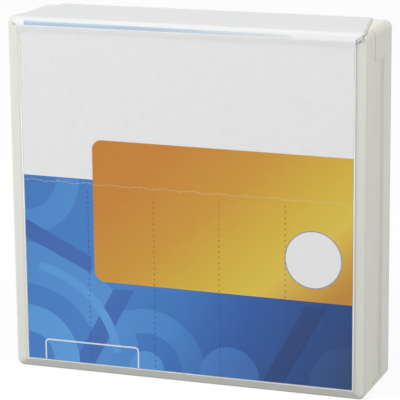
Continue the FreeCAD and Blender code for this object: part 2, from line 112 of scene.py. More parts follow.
def linear(code: str) -> Colour:
    """Turns an sRGB hex colour into linear light.

    Args:
        code: Colour as "#RRGGBB".

    Returns:
        Red, green, blue and alpha, each from 0 to 1.
    """
    srgb = np.array([int(code[i:i + 2], 16) for i in (1, 3, 5)]) / 255.0
    light = np.where(srgb <= 0.04045, srgb / 12.92, ((srgb + 0.055) / 1.055) ** 2.4)
    return (*light.tolist(), 1.0)


def add_node(tree: NodeTree, kind: str, settings: dict | None = None, links: dict | None = None) -> Node:
    """Adds a shader node with its settings and its incoming links.

    Args:
        tree: Node tree of the material or world.
        kind: Type name of the node, without ShaderNode.
        settings: Values by the name of a property, or by the name or number of an input.
        links: Outputs, or nodes for their first output, by the name or number of the input that they feed.

    Returns:
        The new node.
    """
    node = tree.nodes.new("ShaderNode" + kind)
    for key, value in (settings or {}).items():
        if isinstance(key, str) and key not in node.inputs and hasattr(node, key):
            setattr(node, key, value)
        else:
            node.inputs[key].default_value = value
    for key, source in (links or {}).items():
        tree.links.new(source.outputs[0] if isinstance(source, Node) else source, node.inputs[key])
    return node


def set_stops(ramp: Node, stops: list[tuple[float, Colour]]) -> None:
    """Puts colour stops into a Color Ramp node.

    Args:
        ramp: The Color Ramp node.
        stops: Position from 0 to 1 and colour of each stop, in rising order.
    """
    elements = ramp.color_ramp.elements
    while len(elements) < len(stops):
        elements.new(1.0)
    for element, (position, colour) in zip(elements, stops):
        element.position = position
        element.color = colour


def new_material(name: str) -> tuple[Material, NodeTree, Node]:
    """Starts a material.

    Args:
        name: Name of the real material.

    Returns:
        The material, its node tree and its output node.
    """
    material = bpy.data.materials.new(name)
    material.use_nodes = True
    tree = material.node_tree
    tree.nodes.clear()
    return material, tree, add_node(tree, "OutputMaterial")


@dataclass(frozen=True)
class Finish:
    """Finish named for its real material; each kind says how its surface is made."""

    name: str

    def surface(self, tree: NodeTree, place: NodeSocket) -> Node:
        """Adds the nodes of the surface.

        Args:
            tree: Node tree of the material.
            place: Output that carries the place in the object's own axes.

        Returns:
            The shader node.
        """
        raise NotImplementedError

    def build(self) -> Material:
        """Makes the material.

        Returns:
            The material, with its surface on its output.
        """
        material, tree, output = new_material(self.name)
        place = add_node(tree, "TexCoord").outputs["Object"]
        tree.links.new(self.surface(tree, place).outputs["BSDF"], output.inputs["Surface"])
        return material


@dataclass(frozen=True)
class Polypropylene(Finish):
    """Natural polypropylene, injection moulded: milky, faintly olive, light soaks into it and glows at edges."""

    name: str = "polypropylene_natural_moulded"
    colour: str = "#E0E0D9"
    foot_shade_colour: str = "#D5D6CE"
    haze: float = 0.3
    flow_mm: float = 26.0
    flow_share: float = 0.35
    rise_mm: float = 115.0
    warm_colour: str = "#FFFDF3"
    half_depth_mm: float = 15.4
    grain_mm: float = 0.5

    def surface(self, tree: NodeTree, place: NodeSocket) -> Node:
        """Adds the surface: a painted shade that darkens it towards the foot, warmer between the panels, flow streaks
        and a mould grain.
        """
        flow = add_node(tree, "TexNoise",
                        {"Scale": 1 / (self.flow_mm * MM), "Detail": 3.0, "Distortion": 0.6}, {"Vector": place})
        axes = add_node(tree, "SeparateXYZ", links={"Vector": place})
        rise = add_node(tree, "MapRange", {"From Max": self.rise_mm * MM, "To Min": -self.flow_share / 2,
                                           "To Max": 1.0 - self.flow_share / 2}, {"Value": axes.outputs["Z"]})
        mixed = add_node(tree, "Math", {"operation": "MULTIPLY_ADD", 1: self.flow_share}, {0: flow, 2: rise})
        # painted shade: the colour darkens from the top down to the foot, with the flow streaks mixed in
        tint = add_node(tree, "ValToRGB", links={"Fac": mixed})
        set_stops(tint, [(0.0, linear(self.foot_shade_colour)), (1.0, linear(self.colour))])
        depth = add_node(tree, "MapRange", {"From Min": -self.half_depth_mm * MM, "From Max": self.half_depth_mm * MM},
                         {"Value": axes.outputs["Y"]})
        warmth = add_node(tree, "ValToRGB", links={"Fac": depth})
        set_stops(warmth, [(0.04, linear("#FFFFFF")), (0.16, linear(self.warm_colour)),
                           (0.62, linear(self.warm_colour)), (0.74, linear("#FFFFFF"))])
        tinted = add_node(tree, "VectorMath", {"operation": "MULTIPLY"}, {0: tint, 1: warmth})
        grain = add_node(tree, "TexNoise", {"Scale": 1 / (self.grain_mm * MM), "Detail": 2.0}, {"Vector": place})
        gloss = add_node(tree, "MapRange", {"To Min": 0.30, "To Max": 0.42}, {"Value": grain})
        bump = add_node(tree, "Bump", {"Strength": 0.12, "Distance": 0.02 * MM}, {"Height": grain})
        return add_node(tree, "BsdfPrincipled",
                        {"Subsurface Weight": self.haze, "Subsurface Scale": 1.2 * MM,
                         "Subsurface Radius": (1.0, 0.95, 0.8), "IOR": 1.49},
                        {"Base Color": tinted, "Roughness": gloss, "Normal": bump})


@dataclass(frozen=True)
class CoatedCard(Finish):
    """Coated card, rolled and varnished: a clean white sheet with the faint cloud of its fibres."""

    name: str = "coated_card_white"
    colour: str = "#E4E4E4"
    cloud_colour: str = "#DFDFE0"
    fibre_mm: float = 1.6

    def surface(self, tree: NodeTree, place: NodeSocket) -> Node:
        """Adds the surface: fibre cloud in the colour and bump under a clear coat."""
        fibre = add_node(tree, "TexNoise",
                         {"Scale": 1 / (self.fibre_mm * MM), "Detail": 5.0, "Roughness": 0.7}, {"Vector": place})
        tint = add_node(tree, "ValToRGB", links={"Fac": fibre})
        set_stops(tint, [(0.3, linear(self.cloud_colour)), (0.7, linear(self.colour))])
        bump = add_node(tree, "Bump", {"Strength": 0.05, "Distance": 0.01 * MM}, {"Height": fibre})
        return add_node(tree, "BsdfPrincipled", VARNISH | {"Roughness": 0.4}, {"Base Color": tint, "Normal": bump})


@dataclass(frozen=True)
class OffsetInk(Finish):
    """Offset printing ink on coated card: a flat tint that fades along one direction, with a fine press mottle."""

    stops: tuple[tuple[float, str], ...]
    direction: tuple[float, float] = (1.0, 0.0)
    origin: tuple[float, float] = (0.0, 0.0)
    span: tuple[float, float] = (-55.0, 55.0)
    mottle_mm: float = 0.9

    def surface(self, tree: NodeTree, place: NodeSocket) -> Node:
        """Adds the surface: distance in mm along the direction picks the tint, and the mottle shades it by 3%."""
        along = add_node(tree, "VectorMath",
                         {"operation": "DOT_PRODUCT", 1: (self.direction[0] / MM, 0.0, self.direction[1] / MM)},
                         {0: place})
        start = self.direction[0] * self.origin[0] + self.direction[1] * self.origin[1]
        part = add_node(tree, "MapRange", {"From Min": start + self.span[0], "From Max": start + self.span[1]},
                        {"Value": along.outputs["Value"]})
        tint = add_node(tree, "ValToRGB", links={"Fac": part})
        reach = self.span[1] - self.span[0]
        set_stops(tint, [((at - self.span[0]) / reach, linear(code)) for at, code in self.stops])
        mottle = add_node(tree, "TexNoise", {"Scale": 1 / (self.mottle_mm * MM), "Detail": 3.0}, {"Vector": place})
        shade = add_node(tree, "MapRange", {"To Min": 0.97, "To Max": 1.03}, {"Value": mottle})
        colour = add_node(tree, "VectorMath", {"operation": "SCALE"}, {0: tint, "Scale": shade})
        return add_node(tree, "BsdfPrincipled", VARNISH | {"Roughness": 0.35}, {"Base Color": colour})


@dataclass(frozen=True)
class ClearFilm(Finish):
    """Clear polypropylene film, cast and welded at its rim: hardly seen, with a slow ripple in its gloss."""

    name: str = "polypropylene_film_clear"
    colour: str = "#F4F4F2"
    cover: float = 0.008
    ripple_mm: float = 18.0

    def surface(self, tree: NodeTree, place: NodeSocket) -> Node:
        """Adds the surface: mostly see-through, a slow ripple in the bump and a little uneven haze."""
        ripple = add_node(tree, "TexNoise", {"Scale": 1 / (self.ripple_mm * MM), "Detail": 1.0}, {"Vector": place})
        bump = add_node(tree, "Bump", {"Strength": 0.2, "Distance": 0.1 * MM}, {"Height": ripple})
        haze = add_node(tree, "MapRange", {"To Min": self.cover * 0.8, "To Max": self.cover * 1.2}, {"Value": ripple})
        return add_node(tree, "BsdfPrincipled", {"Base Color": linear(self.colour), "Roughness": 0.08, "IOR": 1.49},
                        {"Alpha": haze, "Normal": bump})


@dataclass(frozen=True)
class GrainedPlastic(Finish):
    """Moulded engineering plastic with a spark-eroded skin: matt, evenly coloured, with a fine pebble grain."""

    colour: str
    worn_colour: str
    roughness: float = 0.5
    grain_mm: float = 0.45
    relief_mm: float = 0.03
    ior: float = 1.52
    marks_mm: float = 14.0
    gloss_spread: float = 0.08

    def surface(self, tree: NodeTree, place: NodeSocket) -> Node:
        """Adds the surface: pebble grain in bump and roughness, slow handling marks in the colour."""
        pebble = add_node(tree, "TexNoise",
                          {"Scale": 1 / (self.grain_mm * MM), "Detail": 3.0, "Roughness": 0.6}, {"Vector": place})
        marks = add_node(tree, "TexNoise", {"Scale": 1 / (self.marks_mm * MM), "Detail": 4.0}, {"Vector": place})
        tint = add_node(tree, "ValToRGB", links={"Fac": marks})
        set_stops(tint, [(0.35, linear(self.colour)), (0.75, linear(self.worn_colour))])
        gloss = add_node(tree, "MapRange", {"To Min": self.roughness - self.gloss_spread,
                                            "To Max": self.roughness + self.gloss_spread}, {"Value": pebble})
        bump = add_node(tree, "Bump", {"Strength": 0.5, "Distance": self.relief_mm * MM}, {"Height": pebble})
        return add_node(tree, "BsdfPrincipled", {"IOR": self.ior},
                        {"Base Color": tint, "Roughness": gloss, "Normal": bump})


@dataclass(frozen=True)
class DrawnSteel(Finish):
    """Bright drawn steel wire and turned screws: a soft metal shine with fine lines of the drawing die."""

    name: str = "spring_steel_bright"
    colour: str = "#C9CACB"
    line_mm: float = 0.25

    def surface(self, tree: NodeTree, place: NodeSocket) -> Node:
        """Adds the surface: stretched fine lines in the roughness and bump of a metal."""
        stretch = add_node(tree, "Mapping", {"Scale": (1.0, 0.12, 1.0)}, {"Vector": place})
        lines = add_node(tree, "TexNoise", {"Scale": 1 / (self.line_mm * MM), "Detail": 2.0}, {"Vector": stretch})
        gloss = add_node(tree, "MapRange", {"To Min": 0.22, "To Max": 0.4}, {"Value": lines})
        bump = add_node(tree, "Bump", {"Strength": 0.2, "Distance": 0.01 * MM}, {"Height": lines})
        return add_node(tree, "BsdfPrincipled", {"Base Color": linear(self.colour), "Metallic": 1.0},
                        {"Roughness": gloss, "Normal": bump})


@dataclass(frozen=True)
class WoundTape(Finish):
    """Magnetic tape wound on its hub: dark brown turns edge on, with a painted sheen in a lighter ring wherever a turn
    stands proud.
    """

    name: str = "magnetic_tape_wound"
    colour: str = "#2A2522"
    sheen_colour: str = "#3F3833"
    turn_mm: float = 0.7
    centre: tuple[float, float] = (0.0, 54.8)

    def surface(self, tree: NodeTree, place: NodeSocket) -> Node:
        """Adds the surface: rings about the reel's axis give the turns a painted sheen and raise their edges.

        At a scale of 1 the wave texture repeats every tau / 20.
        """
        centred = add_node(tree, "Mapping",
                           {"Location": (-self.centre[0] * MM, 0.0, -self.centre[1] * MM)}, {"Vector": place})
        rings = add_node(tree, "TexWave",
                         {"wave_type": "RINGS", "rings_direction": "Y", "wave_profile": "SIN",
                          "Scale": math.tau / (20 * self.turn_mm * MM), "Distortion": 0.4},
                         {"Vector": centred})
        # painted sheen: the lighter colour lies on the crest of each ring
        tint = add_node(tree, "ValToRGB", links={"Fac": rings.outputs["Fac"]})
        set_stops(tint, [(0.4, linear(self.colour)), (0.95, linear(self.sheen_colour))])
        bump = add_node(tree, "Bump", {"Strength": 0.3, "Distance": 0.03 * MM}, {"Height": rings.outputs["Fac"]})
        return add_node(tree, "BsdfPrincipled", {"Roughness": 0.33}, {"Base Color": tint, "Normal": bump})


@dataclass(frozen=True)
class MattPaper(Finish):
    """Uncoated label paper: a soft white with short fibres and a slightly rough face."""

    name: str = "label_paper_uncoated"
    colour: str = "#DCDAD2"
    fibre_colour: str = "#CFCCC2"
    fibre_mm: float = 0.6

    def surface(self, tree: NodeTree, place: NodeSocket) -> Node:
        """Adds the surface: stretched fibres in the colour and bump."""
        stretch = add_node(tree, "Mapping", {"Scale": (0.4, 1.0, 1.0)}, {"Vector": place})
        fibre = add_node(tree, "TexNoise", {"Scale": 1 / (self.fibre_mm * MM), "Detail": 6.0, "Roughness": 0.75},
                         {"Vector": stretch})
        tint = add_node(tree, "ValToRGB", links={"Fac": fibre})
        set_stops(tint, [(0.3, linear(self.fibre_colour)), (0.65, linear(self.colour))])
        bump = add_node(tree, "Bump", {"Strength": 0.25, "Distance": 0.02 * MM}, {"Height": fibre})
        return add_node(tree, "BsdfPrincipled", {"Roughness": 0.75}, {"Base Color": tint, "Normal": bump})


def dress(nodes: tuple[str, ...], material: Material) -> None:
    """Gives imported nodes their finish.

    Args:
        nodes: Names of the nodes.
        material: Finish that goes into their slots.
    """
    for name in nodes:
        for slot in frame["nodes"][name].material_slots:
            slot.material = material
        LOG.info("dressed %s in %s", name, material.name)


def add_mesh(name: str, points: np.ndarray, faces: list[list[int]], material: Material) -> Object:
    """Adds a mesh object at the origin.

    Args:
        name: Name of the piece.
        points: Corners in mm, an array whose last axis is x, y and z.
        faces: Numbers of each face's corners.
        material: Finish of the piece.

    Returns:
        The object, its places in metres in its mesh.
    """
    mesh = bpy.data.meshes.new(name)
    mesh.from_pydata((points.reshape(-1, 3) * MM).tolist(), [], faces)
    mesh.materials.append(material)
    piece = bpy.data.objects.new(name, mesh)
    bpy.context.scene.collection.objects.link(piece)
    return piece


def surface_mesh(name: str, points: np.ndarray, material: Material, closed: bool = False,
                 capped: bool = False, smooth: bool = True) -> Object:
    """Makes a mesh of the quads between neighbours on a grid of points.

    Args:
        name: Name of the piece.
        points: Grid of places in mm, rows by columns by 3; its columns run round the section.
        material: Finish of the piece.
        closed: Whether the last column joins the first.
        capped: Whether the first and last rows are closed with a face each.
        smooth: Whether the faces are shaded smooth.

    Returns:
        The object.
    """
    rows, columns = points.shape[:2]
    index = np.arange(rows * columns).reshape(rows, columns)
    ring = np.concatenate([index, index[:, :1]], axis=1) if closed else index
    quads = np.stack([ring[:-1, :-1], ring[:-1, 1:], ring[1:, 1:], ring[1:, :-1]], axis=-1).reshape(-1, 4)
    faces = quads.tolist()
    if capped:
        faces += [index[0, ::-1].tolist(), index[-1].tolist()]
    piece = add_mesh(name, points, faces, material)
    piece.data.polygons.foreach_set("use_smooth", np.full(len(faces), smooth))
    return piece


def shapes_mesh(name: str, outlines: list[np.ndarray], y: float, material: Material) -> Object:
    """Makes flat printed shapes, one face to each outline, that face out of the case at either panel.

    Args:
        name: Name of the piece.
        outlines: Corners of each shape, n by 2, x and z in mm, anticlockwise seen from the front.
        y: Depth of the print in mm.
        material: Ink of the shapes.

    Returns:
        The object.
    """
    flat = np.concatenate(outlines)
    points = np.insert(flat, 1, y, axis=1)
    ends = np.cumsum([len(outline) for outline in outlines])
    faces = [list(range(end - len(outline), end)) for end, outline in zip(ends, outlines)]
    return add_mesh(name, points, [face[::-1] for face in faces] if y > 0 else faces, material)


def plates_mesh(name: str, outlines: list[np.ndarray], near: float, far: float, material: Material) -> Object:
    """Makes raised plates, one to each outline, with a slope round the rim that is as wide as the plate is high.

    The rim of the top is the outline drawn in towards the outline's middle by the plate's height, or by MOST_SLOPE
    of its half width where that is less.

    Args:
        name: Name of the piece.
        outlines: Corners of each plate, n by 2, x and z in mm, anticlockwise seen from the front.
        near: Depth of the plate's top in mm, in front of its foot.
        far: Depth of its foot in mm.
        material: Finish of the plates.

    Returns:
        The object.
    """
    points, faces, start = [], [], 0
    for outline in outlines:
        middle = outline.mean(axis=0)
        half = np.abs(outline - middle).max(axis=0)
        top = middle + (outline - middle) * (1 - np.minimum((far - near) / half, MOST_SLOPE))
        count = len(outline)
        for flat, y in ((outline, far), (top, near)):
            points.append(np.insert(flat, 1, y, axis=1))
        foot, crest = start + np.arange(count), start + count + np.arange(count)
        faces += np.stack([foot, np.roll(foot, -1), np.roll(crest, -1), crest], axis=1).tolist()
        faces.append(crest.tolist())
        start += 2 * count
    return add_mesh(name, np.concatenate(points), faces, material)


def box(left: float, foot: float, right: float, top: float) -> np.ndarray:
    """Corners of a rectangle.

    Args:
        left: Lowest x in mm.
        foot: Lowest z in mm.
        right: Highest x in mm.
        top: Highest z in mm.

    Returns:
        The outline, 4 by 2, anticlockwise.
    """
    return np.array([(left, foot), (right, foot), (right, top), (left, top)])


def rounded_corners(corners: list[tuple[float, float, float]], steps: int = 10) -> np.ndarray:
    """Outline with its corners rounded: each corner gives an arc tangent to both of its sides.

    Args:
        corners: x, z and radius in mm of each corner, anticlockwise.
        steps: Points on each arc.

    Returns:
        The outline, n by 2.
    """
    places = np.array(corners)[:, :2]
    parts = []
    for i, (x, z, radius) in enumerate(corners):
        here = places[i]
        before = places[i - 1] - here
        after = places[(i + 1) % len(corners)] - here
        before, after = before / np.linalg.norm(before), after / np.linalg.norm(after)
        half = math.acos(float(np.clip(before @ after, -1, 1))) / 2
        if radius <= 0:
            parts.append(here[None])
            continue
        reach = radius / math.tan(half)
        centre = here + (before + after) / np.linalg.norm(before + after) * radius / math.sin(half)
        first, last = here + before * reach - centre, here + after * reach - centre
        turn = np.linspace(0, 1, steps)[:, None]
        arc = first * (1 - turn) + last * turn
        parts.append(centre + arc / np.linalg.norm(arc, axis=1, keepdims=True) * radius)
    return np.concatenate(parts)


def ring_sector(x: float, z: float, inner: float, outer: float, start: float, end: float) -> np.ndarray:
    """Part of a flat ring between two angles; with no inner radius it is a slice of a disc.

    Args:
        x: Centre in mm.
        z: Centre in mm.
        inner: Inner radius in mm.
        outer: Outer radius in mm.
        start: First angle in degrees, anticlockwise from the right.
        end: Last angle in degrees.

    Returns:
        The outline, n by 2, anticlockwise.
    """
    turn = np.radians(np.linspace(start, end, 33))
    spokes = np.stack([np.cos(turn), np.sin(turn)], axis=1)
    inside = spokes[::-1] * inner if inner > 0 else np.zeros((1, 2))
    return np.concatenate([spokes * outer, inside]) + np.array([x, z])


def swept(name: str, path: np.ndarray, across: np.ndarray, up: np.ndarray, section: np.ndarray,
          material: Material, smooth: bool = True) -> Object:
    """Carries a section along a path: each point is path + across * section x + up * section y.

    Args:
        name: Name of the piece.
        path: Places along the path in mm, n by 3.
        across: Sideways direction at each place, n by 3.
        up: Raised direction, n by 3 or one direction for all.
        section: Closed outline of the section, m by 2, clockwise seen along the path.
        material: Finish of the piece.
        smooth: Whether the faces are shaded smooth.

    Returns:
        The object.
    """
    up = np.broadcast_to(up, path.shape)
    points = (path[:, None] + across[:, None] * section[None, :, :1] + up[:, None] * section[None, :, 1:])
    return surface_mesh(name, points, material, closed=True, capped=True, smooth=smooth)


@dataclass
class InsertCard:
    """Printed sheet that wraps the case: a white card with a blue field, a warm panel and a plain disc."""

    left: float = -54.2
    right: float = 55.2
    foot: float = 3.3
    face: float = -15.25
    layer: float = 0.009
    field_top: float = 64.2
    panel_left: float = -30.45
    panel_foot: float = 30.9
    panel_top: float = 77.2
    askew: float = -0.006
    disc_x: float = 42.6
    disc_z: float = 44.05
    disc_radius: float = 8.95
    disc_rim: float = 0.3
    cut_height: float = 62.75
    cut_fall: float = -0.005

    def depth(self, layer: Layer) -> float:
        """Depth of a layer of ink.

        Args:
            layer: The layer, counted outwards from the card.

        Returns:
            Its y in mm on the front.
        """
        return self.face - layer * self.layer

    def keep(self, piece: Object, body: Body) -> None:
        """Lets a piece of the print ride on its body.

        Args:
            piece: The printed piece.
            body: Body that carries the card under it.
        """
        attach(piece, body.value)

    def lay(self, name: str, outlines: list[np.ndarray], layer: Layer, ink: Material) -> None:
        """Prints flat shapes on the front of the card.

        Args:
            name: Name of the piece.
            outlines: Outlines of the shapes, x and z in mm.
            layer: Layer that the ink lies in.
            ink: Ink of the shapes.
        """
        self.keep(shapes_mesh(name, outlines, self.depth(layer), ink), Body.LID)

    def field_ink(self, name: str, codes: tuple[str, ...]) -> Material:
        """Blue ink that darkens along the way from the field's top left to its lower right.

        Args:
            name: Name of the ink.
            codes: Colours at 0, 40, 60, 80, 100 and 115 mm along the way.

        Returns:
            The ink's material.
        """
        stops = tuple(zip((0.0, 40.0, 60.0, 80.0, 100.0, 115.0), codes))
        return OffsetInk(name, stops, (0.85, -0.4), (self.left, self.field_top), (0.0, 115.0)).build()

    def blue_field(self) -> None:
        """Blue tint over the lower half, darker towards the lower right."""
        ink = self.field_ink("offset_ink_blue", ("#3A72B6", "#407CC2", "#3770B7", "#28569D", "#1E4583", "#1A3868"))
        outline = box(self.left, self.foot, self.right, self.field_top)
        outline[2:, 1] += self.askew * outline[2:, 0]
        self.lay("print_blue_field", [outline], Layer.FIELD, ink)

    def ring_motif(self) -> None:
        """Tonal ring sectors round the field's corners and foot, in two lighter blues and a darker one."""
        light = self.field_ink("offset_ink_blue_light",
                               ("#4480C2", "#4E8CCC", "#4480C2", "#3262A8", "#28508C", "#22406E"))
        pale = self.field_ink("offset_ink_blue_pale",
                              ("#4C8CCA", "#5898D4", "#4E8CCC", "#3C6EB2", "#305A96", "#2A4878"))
        dark = self.field_ink("offset_ink_blue_dark",
                              ("#345EA6", "#3A68B0", "#325EA4", "#244A88", "#1C3A70", "#183058"))
        left, right, foot, top = self.left, self.right, self.foot, self.field_top
        wide = [ring_sector(left, foot, 25.0, 39.0, 0, 90), ring_sector(left, top, 11.0, 19.0, -90, 0),
                ring_sector(right, foot, 0.0, 14.0, 90, 180)]
        low = [ring_sector(-13.0, foot, 12.0, 20.0, 0, 180)]
        slim = [ring_sector(left, foot, 9.0, 18.0, 0, 90), ring_sector(15.0, foot, 0.0, 10.0, 0, 180),
                ring_sector(left, foot, 30.0, 33.0, 8, 82), ring_sector(-13.0, foot, 0.0, 6.0, 0, 180)]
        thick, lean, bar_top = 7.0, 14.0, 29.0
        slant = [np.array([(x, foot), (x + thick, foot), (x + thick + lean, bar_top), (x + lean, bar_top)])
                 for x in (-38.0, 26.0)]
        slant.append(np.array([(left, 44.0), (-31.5, 33.5), (-31.5, 39.0), (left, 50.0)]))
        self.lay("print_wide_rings", wide, Layer.WIDE_RINGS, light)
        self.lay("print_foot_ring", low, Layer.FOOT_RING, light)
        self.lay("print_slanted_bars", slant, Layer.BARS, dark)
        self.lay("print_slim_rings", slim, Layer.SLIM_RINGS, pale)

    def warm_panel(self) -> None:
        """Warm panel with two round corners on the left, yellow in the middle and orange at its ends."""
        stops = ((-60.0, "#B27A30"), (-26.0, "#BA8432"), (-10.0, "#D4B848"), (0.0, "#CDB03A"), (10.0, "#CBA236"),
                 (20.0, "#C69232"), (42.0, "#C07E2C"), (60.0, "#BF7A2A"))
        ink = OffsetInk("offset_ink_warm", stops, (-0.649, 0.761), (9.3, 31.8), (-60.0, 60.0)).build()
        low_round, top_round = 3.8, 3.2
        near, far = self.askew * self.panel_left, self.askew * self.right
        corners = [(self.panel_left, self.panel_foot + near, low_round), (self.right, self.panel_foot + far, 0),
                   (self.right, self.panel_top + far, 0), (self.panel_left, self.panel_top + near, top_round)]
        self.lay("print_warm_panel", [rounded_corners(corners)], Layer.PANEL, ink)

    def white_disc(self) -> None:
        """Plain white disc on the panel, with a thin ring round it."""
        white = OffsetInk("offset_ink_white", ((-55.0, "#E4E4E4"), (55.0, "#E0E0E0"))).build()
        grey = OffsetInk("offset_ink_grey_blue", ((-55.0, "#8B93AE"), (55.0, "#8088A4"))).build()
        turn = np.linspace(0, math.tau, 73)[:-1]
        circle = np.stack([np.cos(turn), np.sin(turn)], axis=1)
        centre = np.array([self.disc_x, self.disc_z])
        self.lay("print_disc_rim", [centre + circle * (self.disc_radius + self.disc_rim)], Layer.DISC_RIM, grey)
        self.lay("print_disc", [centre + circle * self.disc_radius], Layer.DISC, white)

    def torn_edge(self) -> None:
        """Thin wavering cut along the top of the blue field, in short slanting dashes.

        The dashes' height falls from left to right and wavers by a sine; each dash rises or falls by a fifth of a mm.
        """
        pitch, length, half_line, waver, lean = 2.15, 1.85, 0.06, 0.25, 0.2
        waver_turn, lean_turn, left_gap, right_gap = 0.7, 2.2, 0.3, 2.0
        pale = OffsetInk("card_cut_pale", ((-55.0, "#BCC8DA"), (-31.0, "#D3BFA6"), (55.0, "#D8CC9C"))).build()
        left = np.arange(self.left + left_gap, self.right - right_gap, pitch)
        rise = self.cut_height + self.cut_fall * left + waver * np.sin(left * waver_turn)
        slant = lean * np.cos(np.arange(len(left)) * lean_turn)
        start = np.stack([left, rise - slant], axis=1)
        end = np.stack([left + length, rise + slant], axis=1)
        thick = np.array([0.0, half_line])
        dashes = np.stack([start - thick, end - thick, end + thick, start + thick], axis=1)
        self.lay("print_torn_dashes", list(dashes), Layer.TORN_EDGE, pale)

    def perforations(self) -> None:
        """Four rows of small cuts down from the torn edge to the card's foot, each a dash of painted shade, browner
        where they cross the panel.
        """
        pitch, low, top, rows = 1.8, 1.0, 60.5, (-32.3, -10.0, 11.8, 33.55)
        cut = box(-0.15, 0.0, 0.15, 0.5)
        places = np.array([(x, z) for x in rows for z in np.arange(self.foot + low, top, pitch)])
        on_panel = (places[:, 0] > self.panel_left) & (places[:, 1] > self.panel_foot)
        for name, chosen, codes in (("card_perforations", ~on_panel, ("#2A4680", "#1E3058")),
                                    ("card_perforations_panel", on_panel, ("#6E4B22", "#80682B"))):
            # painted shade in the cuts: a darker tone of the ink around each one
            shadow = OffsetInk(name + "_shadow", ((-55.0, codes[0]), (55.0, codes[1]))).build()
            self.lay(name, [place + cut for place in places[chosen]], Layer.PERFORATIONS, shadow)

    def outlined_tab(self) -> None:
        """White outline of a tab at the foot, open below, its face left bare."""
        white = OffsetInk("offset_ink_outline", ((-55.0, "#D5DCEA"), (55.0, "#D5DCEA"))).build()
        left, right, top, line, outer_round, inner_round = -48.3, -15.6, 10.3, 0.5, 1.4, 0.9
        rims = []
        for inset, radius in ((line, inner_round), (0.0, outer_round)):
            rim = rounded_corners([(left + inset, self.foot, 0), (right - inset, self.foot, 0),
                                   (right - inset, top - inset, radius), (left + inset, top - inset, radius)])
            rims.append(np.concatenate([rim[1:], rim[:1]]))
        strip = np.stack(rims, axis=1)
        points = np.insert(strip, 1, self.depth(Layer.TAB), axis=-1)
        self.keep(surface_mesh("print_tab_outline", points, white, smooth=False), Body.LID)

    def spine_strip(self, name: str, x: np.ndarray, low: np.ndarray, high: np.ndarray, ink: Material) -> None:
        """Strip on the card of the spine, between two runs over its bend; the ribbon is print and the crease strips
        are painted highlights.

        A run is measured along the card's section from the hinge line: straight up to the bend, a quarter circle, then
        back. Within SWELL_REACH of the hinge the card swells out by half of a cosine wave.

        Args:
            name: Name of the piece.
            x: Places along the hinge in mm.
            low: Lower run at each place in mm.
            high: Upper run at each place in mm.
            ink: Finish of the strip.
        """
        lift, climb, swell_height = 0.01, 0.7, 0.13
        radius = BEND_RADIUS + lift
        run = low + (high - low) * np.linspace(0, 1, 10)[:, None]
        turn = np.clip((run - climb) / radius, 0, math.pi / 2)
        swell = swell_height / 2 * (1 + np.cos(math.pi * np.minimum(run / SWELL_REACH, 1)))
        y = -BEND_DEPTH - radius * np.cos(turn) - swell + np.maximum(run - climb - radius * math.pi / 2, 0)
        z = BEND_FOOT + radius * np.sin(turn) + np.minimum(run - climb, 0)
        points = np.stack([np.broadcast_to(x, run.shape), y, z], axis=-1)
        self.keep(surface_mesh(name, points, ink), Body.SPINE)

    def spine_crease_highlights(self) -> None:
        """Two lighter strips along the card's creases at the bend: painted highlights where the creases catch the
        light.

        The upper one's run is an even one plus an exponential that dies away from the left end; the lower one's falls
        evenly from left to right.
        """
        even, extra, left_end, reach = 7.4, 3.2, -58.4, 25
        # painted highlights: both strips are lighter than the card under them
        white = OffsetInk("card_crease_painted_highlight", ((-55.0, "#E2E3E3"), (55.0, "#EFEFED"))).build()
        soft = OffsetInk("card_crease_painted_highlight_soft", ((-55.0, "#DCDDDD"), (55.0, "#DFE0E0"))).build()
        x = np.linspace(-53.8, 54.6, 60)
        upper = even + extra * np.exp((left_end - x) / reach)
        lower = np.linspace(2.96, 2.44, 60)
        for name, middle, half_line, ink in (("print_crease_highlight_upper", upper, 0.25, white),
                                             ("print_crease_highlight_lower", lower, 0.2, soft)):
            self.spine_strip(name, x, middle - half_line, middle + half_line, ink)

    def spine_ribbon(self) -> None:
        """Pale blue ribbon along the card's front bend, fading to white on the right."""
        ink = OffsetInk("offset_ink_blue_tint",
                        ((-54.0, "#A0B7D0"), (-12.0, "#A8BCCE"), (12.0, "#C0CAD0"), (34.0, "#D6D8D8"))).build()
        steps, low, left_top, right_top = 31, 0.15, 1.95, 1.5
        x = np.linspace(-52.9, 36.0, steps)
        self.spine_strip("print_spine_ribbon", x, np.full(steps, low), np.linspace(left_top, right_top, steps), ink)

    def back_print(self) -> None:
        """Blue band at the foot of the back, with a warm line over it."""
        blue = self.field_ink("offset_ink_blue_back",
                              ("#3E74B8", "#4278BC", "#3E70B2", "#34609C", "#2E4F80", "#2A3D66"))
        warm = OffsetInk("offset_ink_warm_back", ((-52.0, "#BF7A2A"), (0.0, "#CFAE3A"), (52.0, "#BF7A2A"))).build()
        half, band_top, line_foot, line_top = 51.4, 30.0, 30.6, 33.0
        back = -self.depth(Layer.FIELD)
        for name, outline, ink in (("print_back_band", box(-half, self.foot, half, band_top), blue),
                                   ("print_back_line", box(-half, line_foot, half, line_top), warm)):
            self.keep(shapes_mesh(name, [outline], back, ink), Body.TRAY)

    def build(self) -> None:
        """Makes every printed layer, from the card outwards."""
        self.spine_ribbon()
        self.spine_crease_highlights()
        self.back_print()
        self.blue_field()
        self.ring_motif()
        self.warm_panel()
        self.white_disc()
        self.torn_edge()
        self.perforations()
        self.outlined_tab()


@dataclass(frozen=True)
class Panel:
    """One of the case's two large panels, with the film and the seam over it.

    Attributes:
        end: End of its pieces' names.
        body: Body that carries it.
        outwards: Way out of it along y, 1 or -1.
        film_half: Half of the film's width in mm.
        film_top: Highest place of the film over it in mm.
        seam_left: Left run of the seam in mm.
        seam_right: Right run in mm.
        seam_top: Top end of the seam's two sides in mm.
    """

    end: str
    body: Body
    outwards: float
    film_half: float
    film_top: float
    seam_left: float
    seam_right: float
    seam_top: float


